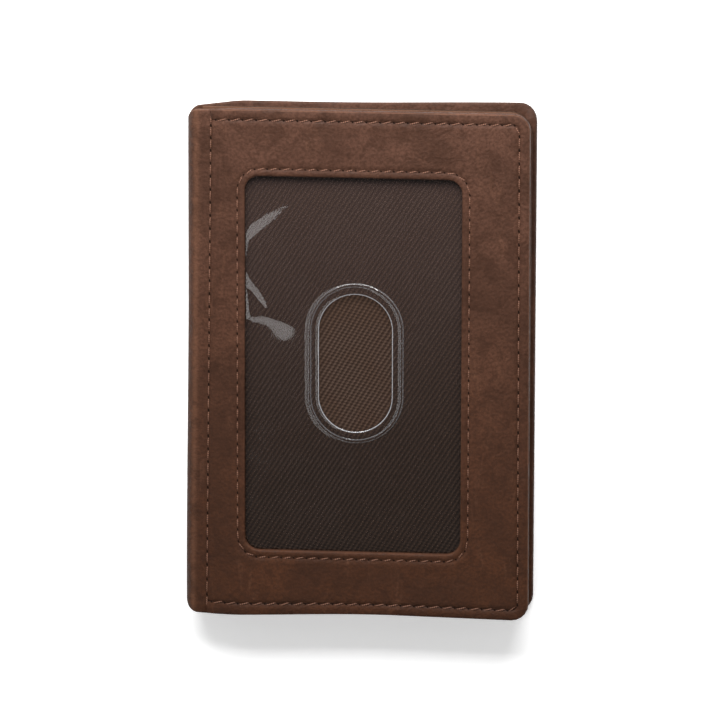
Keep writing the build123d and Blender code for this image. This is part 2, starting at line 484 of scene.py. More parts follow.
@dataclass(frozen=True)
class Twill:
    """Dark lining cloth with slanted ribs of thread."""

    name: str
    rib: Colour = (65, 50, 41)
    gap: Colour = (38, 25, 18)
    warm: Colour = (60, 41, 28)
    across: float = 954.0
    along: float = -600.0

    def make(self) -> bpy.types.Material:
        """Makes the cloth's material.

        Returns:
            The material.
        """
        r = Recipe(self.name)
        place = r.hide_place()
        wander = r.cloud(place, 120, 3)
        turn = math.tau

        def wave(x: float, y: float, shift: object) -> bpy.types.NodeSocket:
            """Even ribs, so many to the metre across and along, moved sideways by a shift."""
            run = r.node("ShaderNodeVectorMath", {0: place, 1: (x * turn, y * turn, 0)}, operation="DOT_PRODUCT")
            return r.sum("SINE", r.sum("ADD", run.outputs["Value"], shift))

        drift = r.sum("MULTIPLY", wander, 2.4)
        rib = wave(self.across, self.along, drift)
        strand = wave(self.across * 0.35, self.across * 1.55, r.sum("MULTIPLY", wander, 5.0))
        warp = wave(2400.0, 150.0, 0.0)
        ridge = r.spread(r.sum("ADD", rib, r.sum("MULTIPLY", strand, 0.16)), -1.0, 1.1)
        colour = r.dye(ridge, tone(*self.gap), tone(*self.rib))
        blotch = r.cloud(place, 75, 4, 0.6, 0.6)
        warm = r.dye(ridge, tone(*self.gap), tone(*self.warm))
        colour = r.dye(r.spread(blotch, 0.38, 0.62, 0.0, 0.5), colour, warm)
        fuzz = r.cloud(place, 2600, 3, 0.7)
        colour = r.dye(r.spread(fuzz, 0.3, 0.7, 0.0, 0.35), colour, tone(*self.gap))
        height = r.sum("ADD", ridge, r.sum("ADD", r.sum("MULTIPLY", strand, 0.22), r.sum("MULTIPLY", warp, 0.12)))
        bump = r.relief(fuzz, 0.00003, r.relief(height, 0.00010))
        return r.finish(Base_Color=colour, Roughness=0.82, Normal=bump, Specular_IOR_Level=0.15)


@dataclass(frozen=True)
class PlainCloth:
    """Thin plain-woven cloth for the slot tongues."""

    name: str
    warp: Colour = (56, 41, 32)
    weft: Colour = (40, 28, 22)

    def make(self) -> bpy.types.Material:
        """Makes the cloth's material.

        Returns:
            The material.
        """
        r = Recipe(self.name)
        place = r.hide_place()
        weave = r.node("ShaderNodeTexChecker", {"Vector": place, "Scale": 4200.0, "Color1": (1, 1, 1, 1),
                                                "Color2": (0, 0, 0, 1)})
        slub = r.cloud(place, 600, 4, 0.6)
        colour = r.dye(weave.outputs["Fac"], tone(*self.weft), tone(*self.warp))
        colour = r.dye(r.spread(slub, 0.35, 0.7, 0, 0.5), colour, tone(*self.weft))
        return r.finish(Base_Color=colour, Roughness=0.85, Specular_IOR_Level=0.2,
                        Normal=r.relief(r.sum("ADD", weave.outputs["Fac"], slub), 0.00004))


@dataclass(frozen=True)
class ClearFilm:
    """Clear plastic film, a little grey, with faint scuffs; painted lighter towards the top and near black towards
    the bottom as painted light, and painted bright and more opaque along its bead lines as painted highlights.
    """

    name: str
    # tint at the top and low at the bottom: painted light across the film, lighter towards the top.
    tint: Colour = (60, 47, 45)
    low: Colour = (8, 5, 4)
    # edge: the painted highlight colour of the bead lines; edge_cover is their opacity.
    edge: Colour = (166, 168, 172)
    cover: float = 0.2
    edge_cover: float = 0.62

    def make(self) -> bpy.types.Material:
        """Makes the film's material.

        Returns:
            The material.
        """
        r = Recipe(self.name)
        place = r.object_place()
        scuff = r.cloud(place, 160, 4)
        along = r.node("ShaderNodeSeparateXYZ", {"Vector": place}).outputs["Y"]
        # Painted light: lighter towards the top, with faint scuffs.
        painted_light_and_scuffs = r.sum("ADD", r.spread(along, -0.03, 0.04, 0, 0.9), r.spread(scuff, 0.35, 0.7, 0, 0.1))
        # Painted highlight: the bead lines take the bright edge colour and are more opaque.
        colour = r.dye(r.wear_and_painted_light(), r.dye(painted_light_and_scuffs, tone(*self.low), tone(*self.tint)), tone(*self.edge))
        return r.finish(Base_Color=colour, Roughness=r.spread(scuff, 0.4, 0.75, 0.035, 0.06), IOR=2.2,
                        Alpha=r.spread(r.wear_and_painted_light(), 0.0, 1.0, self.cover, self.edge_cover))


@dataclass(frozen=True)
class Thread:
    """Waxed sewing thread, its strands twisted together."""

    name: str
    lit: Colour = (118, 80, 61)
    # deep: painted shade between the strands.
    deep: Colour = (62, 39, 28)

    def make(self) -> bpy.types.Material:
        """Makes the thread's material.

        Returns:
            The material.
        """
        r = Recipe(self.name)
        run = r.node("ShaderNodeVectorMath", {0: r.hide_place(), 1: (14000.0, 1000.0, 0.0)}, operation="DOT_PRODUCT")
        strand = r.spread(r.sum("SINE", run.outputs["Value"]), -0.9, 0.7)
        hair = r.cloud(r.object_place(), 4200, 3, 0.7)
        # Painted highlight and shade: each strand is painted lit on its crest and shaded between strands along the
        # twist.
        colour = r.dye(strand, tone(*self.deep), tone(*self.lit))
        colour = r.dye(r.spread(hair, 0.35, 0.7, 0.0, 0.35), colour, tone(*self.deep))
        return r.finish(Base_Color=colour, Roughness=0.6, Specular_IOR_Level=0.3, Normal=r.relief(strand, 0.00005))


@dataclass(frozen=True)
class NeedleHole:
    """The painted shade inside a needle hole: a dark bead set where the hole lies in shade."""

    name: str
    shade: Colour = (16, 10, 7)
    rim: Colour = (30, 18, 12)

    def make(self) -> bpy.types.Material:
        """Makes the hole's material.

        Returns:
            The material.
        """
        r = Recipe(self.name)
        torn = r.cloud(r.object_place(), 5200, 3, 0.7)
        colour = r.dye(torn, tone(*self.shade), tone(*self.rim))
        return r.finish(Base_Color=colour, Roughness=0.95, Specular_IOR_Level=0.05, Normal=r.relief(torn, 0.00005))


@dataclass(frozen=True)
class Card:
    """Pressed fibre board inside the leaves."""

    name: str
    base: Colour = (56, 38, 28)
    fibre: Colour = (38, 26, 19)

    def make(self) -> bpy.types.Material:
        """Makes the board's material.

        Returns:
            The material.
        """
        r = Recipe(self.name)
        place = r.object_place()
        long_place = r.node("ShaderNodeMapping", {"Vector": place, "Scale": (1.0, 0.15, 1.0)}).outputs[0]
        fibre = r.cloud(long_place, 3000, 6, 0.7, 0.6)
        pulp = r.cloud(place, 260, 5, 0.6)
        colour = r.dye(r.spread(fibre, 0.4, 0.65), tone(*self.base), tone(*self.fibre))
        colour = r.dye(r.spread(pulp, 0.3, 0.7, 0, 0.35), colour, tone(*self.fibre))
        return r.finish(Base_Color=colour, Roughness=0.95, Specular_IOR_Level=0.06,
                        Normal=r.relief(r.sum("ADD", fibre, pulp), 0.00005))


@dataclass(frozen=True)
class Backdrop:
    """Pale seamless paper under the wallet."""

    name: str
    shade: Colour = (250, 250, 250)
    tooth: Colour = (242, 242, 241)
    glow: float = 0.3

    def make(self) -> bpy.types.Material:
        """Makes the paper's material.

        Returns:
            The material.
        """
        r = Recipe(self.name)
        tooth = r.cloud(r.object_place(), 900, 4, 0.6)
        colour = r.dye(r.spread(tooth, 0.3, 0.7, 0, 0.15), tone(*self.shade), tone(*self.tooth))
        return r.finish(Base_Color=colour, Roughness=0.95, Specular_IOR_Level=0.05,
                        Emission_Color=(1.0, 1.0, 1.0, 1.0), Emission_Strength=self.glow)


@dataclass
class Finishes:
    """The wallet's finishes, each made once."""

    leather: bpy.types.Material = field(default_factory=lambda: Leather("leather").make())
    # The inner leather's low colour is painted shade towards the bottom, and its pale colour also paints highlights.
    inner: bpy.types.Material = field(default_factory=lambda: Leather(
        "inner_leather", base=(66, 42, 30), low=(63, 39, 27), dark=(53, 33, 23), pale=(94, 65, 49),
        rough=0.58, grain=0.00005).make())
    twill: bpy.types.Material = field(default_factory=lambda: Twill("twill").make())
    cloth: bpy.types.Material = field(default_factory=lambda: PlainCloth("tongue_cloth").make())
    film: bpy.types.Material = field(default_factory=lambda: ClearFilm("clear_film").make())
    thread: bpy.types.Material = field(default_factory=lambda: Thread("thread").make())
    hole: bpy.types.Material = field(default_factory=lambda: NeedleHole("needle_hole").make())
    board: bpy.types.Material = field(default_factory=lambda: Card("board").make())


def dress(obj: bpy.types.Object, material: bpy.types.Material, nodes: Sequence[str],
          body: str | None) -> bpy.types.Object:
    """Gives a piece its material, hides the CAD nodes it stands for and parents it under the body it rides on.

    Args:
        obj: The piece.
        material: Its finish.
        nodes: The CAD nodes it stands for.
        body: The body it rides on, or None for a piece between the two leaves, which is left unattached.

    Returns:
        The piece.
    """
    obj.data.materials.clear()
    obj.data.materials.append(material)
    if nodes:
        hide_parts(*nodes)
    if body:
        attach(obj, body)
    log.info("%s: %d faces, stands for %s", obj.name, len(obj.data.polygons), ", ".join(nodes) or "nothing")
    return obj


# ----------------------------------------------------------------- the form


@dataclass
class LeafForm:
    """A leaf's outline, seams and outer face, in millimetres, with heights over the plane where the leaves meet."""

    mid: float
    outer: float
    fold_edge: float
    free_edge: float
    top: float
    bottom: float
    shortening: float = 1.3
    fold_corner: float = 2.0
    edge_inset: float = 2.3
    seam_corner: float = 1.3
    draw_in: Pair = (0.45, 0.4)
    sag: Pair = (2.0, 0.6)
    sag_from: float = 42.0
    lean_out: Pair = (32.5, 37.0)
    back_top: Pair = (0.7, 0.8)
    ramp_end: float = -26.2
    ramp_angle: float = math.radians(15.469)
    ramp_ease: float = 2.0
    fold_radius: float = 3.0
    fold_seam_low: float = -32.25
    fold_seam_lean: float = 1.15
    window_centre: Pair = (-1.3, 0.0)
    window_half: Pair = (22.6, 40.0)
    window_corner: float = 3.0

    @classmethod
    def from_frame(cls) -> "LeafForm":
        """Reads the form's outline from the CAD model.

        Returns:
            The form.
        """
        _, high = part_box("front_cover")
        base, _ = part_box("back_cover")
        spine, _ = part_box("spine_leather")
        mid = (base.z + high.z) / 2 / MM
        return cls(mid=mid, outer=high.z / MM - mid, fold_edge=spine.x / MM, free_edge=high.x / MM,
                   top=high.y / MM, bottom=-high.y / MM)

    @property
    def fold_centre(self) -> float:
        """Where the fold's round is centred, across the leaf."""
        return self.fold_edge + self.fold_radius

    def bottom_at(self, x: np.ndarray) -> np.ndarray:
        """The bottom edge, which leans up towards the fold."""
        return self.bottom + (self.free_edge - x) * self.shortening / (self.free_edge - self.fold_edge)

    def fold_seam(self, y: np.ndarray) -> np.ndarray:
        """The fold seam's place across the leaf."""
        return self.fold_seam_low + self.fold_seam_lean * (y - self.bottom) / (self.top - self.bottom)

    def height(self, x: np.ndarray) -> tuple[np.ndarray, np.ndarray]:
        """The outer face's height: level, then down a ramp towards the fold, with an eased bend between.

        Args:
            x: Places across the leaf.

        Returns:
            The height and the slope at each place.
        """
        steep, soft = math.tan(self.ramp_angle), self.ramp_ease
        drop = self.ramp_end - np.asarray(x, float)
        eased = np.where(drop < -soft, 0, np.where(drop > soft, drop, (drop + soft) ** 2 / (4 * soft)))
        rate = np.where(drop < -soft, 0, np.where(drop > soft, 1, (drop + soft) / (2 * soft)))
        return self.outer - steep * eased, steep * rate

    def relax(self, x: np.ndarray, y: np.ndarray, side: Side) -> tuple[np.ndarray, np.ndarray]:
        """How far the soft leather has moved out of square beside the fold and at the back's free corner.

        Args:
            x: Places across the leaf.
            y: Places along it.
            side: The leaf.

        Returns:
            The moves across the leaf and along it.
        """
        low, high = ease(-y, self.sag_from, 56.0), ease(y, self.sag_from, self.top)
        along = -self.sag[0] * ease(-x, -8.0, 40.0) * low - self.back_top[1] * ease(-x, 24.0, 37.0) * high
        if side is Side.BACK:
            along = along + self.back_top[0] * ease(x, -10.0, self.free_edge) * high
        return -self.sag[1] * ease(-x, *self.lean_out) * ease(-y, -20.0, 50.0), along

    def place(self, x: np.ndarray, y: np.ndarray, depth: np.ndarray, side: Side) -> np.ndarray:
        """Points at a depth under a leaf's outer face.

        Args:
            x: Places across the leaf.
            y: Places along it.
            depth: How far under the face each point is.
            side: The leaf.

        Returns:
            The points, in millimetres.
        """
        x, y, depth = np.broadcast_arrays(*(np.asarray(v, float) for v in (x, y, depth)))
        height, slope = self.height(x)
        if side is Side.FRONT:
            pull = self.draw_in[0] + self.draw_in[1] * (y - self.bottom) / (self.top - self.bottom)
            x = x - pull * ease(x, self.window_centre[0] + self.window_half[0] + 2.0, self.free_edge - 1.5)
        across, along = self.relax(x, y, side)
        x, y = x + across, y + along
        length = np.sqrt(1 + slope * slope)
        return np.stack([x + depth * slope / length, y, self.mid + side.value * (height - depth / length)], -1)

    def window_gap(self, x: np.ndarray, y: np.ndarray) -> np.ndarray:
        """The distance outward from the window's rim.

        Args:
            x: Places across the leaf.
            y: Places along it.

        Returns:
            The distance at each place, negative inside.
        """
        r = self.window_corner
        qx = np.abs(x - self.window_centre[0]) - (self.window_half[0] - r)
        qy = np.abs(y - self.window_centre[1]) - (self.window_half[1] - r)
        return np.hypot(np.maximum(qx, 0), np.maximum(qy, 0)) + np.minimum(np.maximum(qx, qy), 0) - r

    def seam_gap(self, x: np.ndarray, y: np.ndarray) -> np.ndarray:
        """The distance outward from the line of the edge seam and the fold seam.

        Args:
            x: Places across the leaf.
            y: Places along it.

        Returns:
            The distance at each place, negative inside.
        """
        r = self.seam_corner
        right = x - (self.free_edge - self.edge_inset)

        def corner(edge: np.ndarray) -> np.ndarray:
            """The distance from a round corner between the free side and another edge."""
            u, v = edge + r, right + r
            return np.minimum(np.maximum(u, v), 0) + np.hypot(np.maximum(u, 0), np.maximum(v, 0)) - r

        over = corner(y - (self.top - self.edge_inset))
        under = corner(self.bottom_at(x) + self.edge_inset - y)
        return np.maximum(np.maximum(over, under), self.fold_seam(y) - x)

    def edge_path(self, inset: float, step: float) -> tuple[np.ndarray, np.ndarray]:
        """The line at an inset inside the outline, from the fold seam over the top, down the free side and back.

        Args:
            inset: How far inside the outline the line is.
            step: The distance between its points.

        Returns:
            The points and the outward directions at them.
        """
        r = self.seam_corner + self.edge_inset - inset
        lean = math.atan2(self.shortening, self.free_edge - self.fold_edge)
        right, top = self.free_edge - inset, self.top - inset
        low_y = float(self.bottom_at(right - r)) + inset + r
        start, stop = float(self.fold_seam(top)), float(self.fold_seam(self.bottom + inset))
        points, out = [], []

        def run(a: Pair, b: Pair, way: Pair) -> None:
            """Adds a straight stretch.

            Args:
                a: Where it starts.
                b: Where it ends.
                way: The outward direction along it.
            """
            count = max(2, int(math.dist(a, b) / step) + 1)
            points.extend(np.linspace(a, b, count)[:-1])
            out.extend([way] * (count - 1))

        def turn(centre: Pair, first: float, last: float) -> None:
            """Adds a corner.

            Args:
                centre: The middle of its round.
                first: The angle where it starts.
                last: The angle where it ends.
            """
            angles = np.linspace(first, last, max(6, int(r * abs(last - first) / step * 1.6)))
            points.extend([(centre[0] + r * math.cos(a), centre[1] + r * math.sin(a)) for a in angles[:-1]])
            out.extend([(math.cos(a), math.sin(a)) for a in angles[:-1]])

        run((start, top), (right - r, top), (0.0, 1.0))
        turn((right - r, top - r), math.pi / 2, 0)
        run((right, top - r), (right, low_y), (1.0, 0.0))
        turn((right - r, low_y), 0, -math.pi / 2 - lean)
        way = (-math.sin(lean), -math.cos(lean))
        end = (stop, float(self.bottom_at(stop)) + inset)
        run((right - r + r * way[0], low_y + r * way[1]), end, way)
        points.append(end)
        out.append(way)
        return np.array(points, float), np.array(out, float)

    def window_path(self, offset: float, step: float) -> np.ndarray:
        """The closed line at an offset outside the window's rim.

        Args:
            offset: How far outside the rim the line is.
            step: About the distance between the points of its corners.

        Returns:
            The points, the first one again at the end.
        """
        r = self.window_corner + offset
        cx, cy = self.window_centre
        hw, hh = self.window_half[0] + offset - r, self.window_half[1] + offset - r
        points = []
        for k, (sx, sy) in enumerate(((1, 1), (-1, 1), (-1, -1), (1, -1))):
            for a in np.linspace(k * math.pi / 2, (k + 1) * math.pi / 2, max(4, int(r * 1.6 / step))):
                points.append((cx + sx * hw + r * math.cos(a), cy + sy * hh + r * math.sin(a)))
        points.append(points[0])
        return np.array(points)


def reach(gap: Callable[[np.ndarray, np.ndarray], np.ndarray], centre: Pair, rays: np.ndarray,
          wanted: float) -> np.ndarray:
    """How far along each ray a gap grows to the wanted distance, found by halving.

    Args:
        gap: Gives the distance outward from an outline at places across and along.
        centre: Where the rays start, inside the outline.
        rays: Their directions, one row each.
        wanted: The distance to find.

    Returns:
        The length along each ray, in millimetres.
    """
    low, high = np.zeros(len(rays)), np.full(len(rays), LONGEST_RAY)
    for _ in range(HALVINGS):
        middle = (low + high) / 2
        over = gap(centre[0] + middle * rays[:, 0], centre[1] + middle * rays[:, 1]) > wanted
        low, high = np.where(over, low, middle), np.where(over, middle, high)
    return (low + high) / 2


# --------------------------------------------------------------- the covers


@dataclass
class Cover:
    """A leaf's outer leather: the face inside the seams, and the turned edge outside them."""

    form: LeafForm
    side: Side
    thickness: float = 1.0
    rim: float = 2.3
    top_rim: float = 1.4
    pocket_floor: float = 2.75
    nose: float = 0.4
    hem: float = 3.4
    hem_depth: float = 1.02
    least_rim: float = 1.12
    step: float = 0.75
    swell: float = 0.07
    front_rows: int = 10
    back_rows: int = 16
    # The third value of each row: paler where worn and as a painted highlight where positive, painted shade in the
    # stitch grooves where negative.
    lip: Profile = field(default_factory=lambda: [
        (0.35, 1.0, 0.0), (0.12, 1.0, 0.0), (0.0, 0.85, 0.0), (0.0, 0.55, 0.0), (0.06, 0.30, 0.3), (0.2, 0.12, 0.35),
        (0.42, 0.02, 0.15), (0.75, -0.02, 0.05), (1.05, 0.01, 0.0), (1.3, 0.10, -0.1), (1.6, 0.24, -0.4),
        (1.9, 0.13, -0.2), (2.2, 0.03, 0.0), (2.6, -0.02, 0.05), (3.2, -0.01, 0.0), (4.0, 0.0, 0.0)])
    seam: Profile = field(default_factory=lambda: [
        (-2.0, 0.0, 0.0), (-1.3, -0.02, 0.05), (-0.8, 0.0, 0.1), (-0.5, 0.06, 0.0), (-0.22, 0.18, -0.25),
        (0.0, 0.27, -0.5)])
    shoulder: Profile = field(default_factory=lambda: [
        (-0.25, 0.55, -0.5), (0.0, 0.27, -0.5), (0.3, 0.14, -0.2), (0.6, 0.03, 0.0), (1.0, -0.03, 0.05)])
    # Round the nose: paler on its crest, where worn and as a painted highlight, and darker underneath as painted
    # shade.
    nose_wear_highlight_shade: tuple[float, ...] = (0.05, 0.7, 0.3, 0.0, -0.1, -0.25, -0.35, -0.1, 0.0)

    def calm(self, x: np.ndarray, y: np.ndarray) -> np.ndarray:
        """How far the leather is free to swell: not at all beside a seam.

        Args:
            x: Places across the leaf.
            y: Places along it.

        Returns:
            The share of the swell at each place, from 0 to 1.
        """
        away = -self.form.seam_gap(x, y)
        free = ease(away, 1.0, 5.0)
        return free * ease(self.form.window_gap(x, y), 2.0, 5.0) if self.side is Side.FRONT else free

    def rays(self) -> tuple[Pair, np.ndarray]:
        """The directions from the middle of the leaf to points all along the seams.

        Returns:
            The middle and the directions.
        """
        path, _ = self.form.edge_path(self.form.edge_inset, self.step)
        low, high = path[-1][1], path[0][1]
        ys = np.linspace(low, high, int((high - low) / self.step))[1:-1]
        path = np.concatenate([path, np.stack([self.form.fold_seam(ys), ys], -1)])
        centre = self.form.window_centre
        rays = path - np.array(centre)
        return centre, rays / np.linalg.norm(rays, axis=1, keepdims=True)

    def face(self) -> bpy.types.Object:
        """Makes the leather inside the seams, round the window on the front and whole on the back.

        Returns:
            The piece.
        """
        centre, rays = self.rays()
        front = self.side is Side.FRONT
        seam = [(reach(self.form.seam_gap, centre, rays, f), d, wear_and_painted_light) for f, d, wear_and_painted_light in self.seam]
        first = [(0.0 * rays[:, 0], 0.0, 0.0)]
        if front:
            first = [(reach(self.form.window_gap, centre, rays, w), d, wear_and_painted_light) for w, d, wear_and_painted_light in self.lip]
        count = self.front_rows if front else self.back_rows
        a, b = first[-1][0], seam[0][0]
        between = [(a + (b - a) * k / count, 0.0, 0.0) for k in range(1, count)]
        last, under = seam[-1][0], self.thickness
        # The groove's inner wall is painted shade as well.
        below = [(last, 0.62, -0.5), (last, under, 0.0), (a + (last - a) * 0.5, under, 0.0)]
        if not front:
            below.append((0.0, under, 0.0))
        rows = [*first, *between, *seam, *below]
        s, depth, wear_and_painted_light = skin_rows(rows, len(rays))
        x, y = centre[0] + s * rays[:, 0], centre[1] + s * rays[:, 1]
        top_rows = np.arange(len(rows))[:, None] < len(rows) - len(below)
        lift = (ripple(x, y, 17, 3.0) + 0.5 * ripple(x, y, 7.5, 9.0)) * self.swell * self.calm(x, y) * top_rows
        if not front:  # it lies on the table, so it swells only inwards
            lift = np.minimum(lift, 0.0)
        points = self.form.place(x, y, depth - lift, self.side)
        flat = np.stack([x, y, -depth + self.side.hide_shift], -1)
        return lay_skin(f"{self.side.word}_leather_face", points, flat, wear_and_painted_light, loop_rows=front, loop_cols=True)

    def edge(self) -> bpy.types.Object:
        """Makes the turned edge outside the edge seam, from one end of the fold seam to the other.

        Returns:
            The piece.
        """
        form = self.form
        path, out = form.edge_path(form.edge_inset, self.step)
        high, _ = form.height(path[:, 0])
        rim = self.rim - (self.rim - self.top_rim) * ease(out[:, 1], 0.3, 0.95)
        rim = np.minimum(rim, np.maximum(self.least_rim, high - self.pocket_floor))
        rows = [*self.shoulder]
        for turn, wear_highlight_shade in zip(np.linspace(0, math.pi, len(self.nose_wear_highlight_shade)), self.nose_wear_highlight_shade):
            beyond = form.edge_inset - self.nose + self.nose * math.sin(turn)
            rows.append((beyond, rim / 2 * (1 - math.cos(turn)), wear_highlight_shade))
        rows += [(0.0, rim, 0.0), (-self.hem, rim, 0.0)]
        rows += [(-self.hem, self.hem_depth, 0.0), (-0.3, self.hem_depth, 0.0)]
        e, d, wear_and_painted_light = skin_rows(rows, len(path))
        x, y = path[:, 0] + e * out[:, 0], path[:, 1] + e * out[:, 1]
        points = form.place(x, y, d, self.side)
        flat = np.stack([x, y, -d + self.side.hide_shift], -1)
        return lay_skin(f"{self.side.word}_leather_edge", points, flat, wear_and_painted_light, loop_rows=True, cap_cols=True)

    def build(self, finishes: Finishes) -> None:
        """Makes and dresses the leaf's outer leather.

        Args:
            finishes: The wallet's finishes.
        """
        node = f"{self.side.word}_cover"
        dress(self.face(), finishes.leather, [node], self.side.body)
        dress(self.edge(), finishes.leather, [node], self.side.body)


@dataclass
class Fold:
    """The leather and lining round the fold, each in two halves that meet on the plane between the leaves."""

    form: LeafForm
    leather: float = 1.0
    lining: float = 0.2
    nose: float = 0.42
    leather_reach: float = 2.5
    lining_reach: float = 1.69
    lining_start: float = 2.4
    lining_gap: float = 0.04
    outer_steps: int = 72
    end_steps: int = 7
    inner_steps: int = 12
    round_steps: int = 16
    # crease: a paler band along the bend, where worn and as a painted highlight: its strength, its place as a share
    # of the way from the seam to the meeting plane, and its width.
    crease: tuple[float, float, float] = (0.6, 0.38, 0.15)
    # The seam rows' third values are painted shade in the stitch groove where negative.
    seam: Profile = field(default_factory=lambda: [
        (-0.3, 0.5, -0.5), (0.0, 0.27, -0.5), (0.3, 0.15, -0.2), (0.6, 0.04, 0.0), (1.0, -0.03, 0.05)])

    def section(self) -> list[tuple[int, float, float, float]]:
        """The strip's section along the fold: over its outer face, round the top end, back, and round the bottom end.

        Returns:
            For each point, which end it rounds (1 top, -1 bottom, 0 neither), its place as a share of that end's
            round or of the length, its depth as a share of the thickness, and how pale it is painted, where worn and
            as a painted highlight.
        """
        ends = [(math.sin(k * math.pi / self.end_steps), (1 - math.cos(k * math.pi / self.end_steps)) / 2,
                 0.6 if k < 4 else 0.0) for k in range(1, self.end_steps)]
        return [*[(0, k / self.outer_steps, 0.0, 0.0) for k in range(self.outer_steps + 1)],
                *[(1, *point) for point in ends],
                *[(0, 1 - k / self.inner_steps, 1.0, 0.0) for k in range(self.inner_steps + 1)],
                *[(-1, *point) for point in ends[::-1]]]

    def strip(self, name: str, side: Side, start: float, top_depth: float, thickness: float,
              groove: bool) -> bpy.types.Object:
        """Makes half of a strip that bends round the fold.

        Args:
            name: The piece's name.
            side: The leaf that this half is joined to.
            start: How far from the fold seam the strip starts, towards the fold.
            top_depth: The depth of its outer face under the leather's.
            thickness: How thick it is.
            groove: Whether its start is drawn down under the fold seam's stitches.

        Returns:
            The piece.
        """
        form = self.form
        angle, radius = form.ramp_angle, form.fold_radius
        begin = self.seam if groove else [(start, 0.0, 0.0)]
        section = self.section()
        cols = [*begin, *[(None, k / self.round_steps, 0.0) for k in range(1, self.round_steps + 1)]]
        points = np.zeros((len(section), len(cols), 3))
        flat, wear_and_painted_light = np.zeros_like(points), np.zeros(points.shape[:2])
        tangent_x = form.fold_centre + radius * math.cos(math.pi / 2 + angle)
        arc = radius * (math.pi / 2 - angle)
        highlight_peak, middle, width = self.crease
        for i, (end, share, d, end_wear_highlight) in enumerate(section):
            guess = form.bottom + (form.top - form.bottom) * (share if end == 0 else (end + 1) / 2)
            seam_x = float(form.fold_seam(guess))
            ramp = (seam_x - tangent_x) / math.cos(angle)
            seam_h = form.outer - math.tan(angle) * (form.ramp_end - seam_x)
            for j, (s, extra, wear_highlight_shade) in enumerate(cols):
                if s is None:  # past the seam, the second value is the share of the way to the meeting plane
                    from_s = begin[-1][0]
                    s = from_s + (ramp + arc - from_s) * extra
                    # A paler band along the bend, where worn and as a painted highlight.
                    wear_highlight_shade = 0.1 + highlight_peak * math.exp(-((extra - middle) / width) ** 2)
                    extra = 0.0
                if s < ramp:
                    px, pz = seam_x - s * math.cos(angle), seam_h - s * math.sin(angle)
                    nx, nz = -math.sin(angle), math.cos(angle)
                else:
                    a = math.pi / 2 + angle + (s - ramp) / radius
                    nx, nz = math.cos(a), math.sin(a)
                    px, pz = form.fold_centre + radius * nx, radius * nz
                cut = max(0.0, form.fold_corner - max(0.0, px - form.fold_edge))
                cut = form.fold_corner - math.sqrt(max(0.0, form.fold_corner ** 2 - cut ** 2))
                high, low = form.top - cut - self.nose, float(form.bottom_at(px)) + cut + self.nose
                y = (low + (high - low) * share, high + self.nose * share, low - self.nose * share)[end]
                depth = top_depth + d * thickness + (extra * (1 - d) if groove else 0.0)
                across, along = form.relax(np.array(px), np.array(y), Side.FRONT)
                points[i, j] = (px - depth * nx + across, y + along, form.mid + side.value * (pz - depth * nz))
                flat[i, j] = (seam_x - s, y, -depth + side.hide_shift)
                wear_and_painted_light[i, j] = max(end_wear_highlight, wear_highlight_shade) if wear_highlight_shade >= 0 and d < 0.5 else min(wear_highlight_shade, 0.0)
        points[:, -1, 2] = form.mid
        return lay_skin(name, points, flat, wear_and_painted_light, loop_rows=True, cap_cols=True)

    def build(self, finishes: Finishes) -> None:
        """Makes and dresses both halves of the fold's leather and lining.

        Args:
            finishes: The wallet's finishes.
        """
        for side in Side:
            outer = self.strip(f"{side.word}_fold_leather", side, 0.0, 0.0, self.leather, True)
            inner = self.strip(f"{side.word}_fold_lining_strip", side, self.lining_start,
                               self.leather + self.lining_gap, self.lining, False)
            dress(outer, finishes.leather, ["spine_leather"], None)
            dress(inner, finishes.inner, ["spine_lining", f"{side.word}_fold_lining"], None)
            for piece, far in ((outer, self.leather_reach), (inner, self.lining_reach)):
                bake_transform(piece)


# -------------------------------------------------------------- the stitches


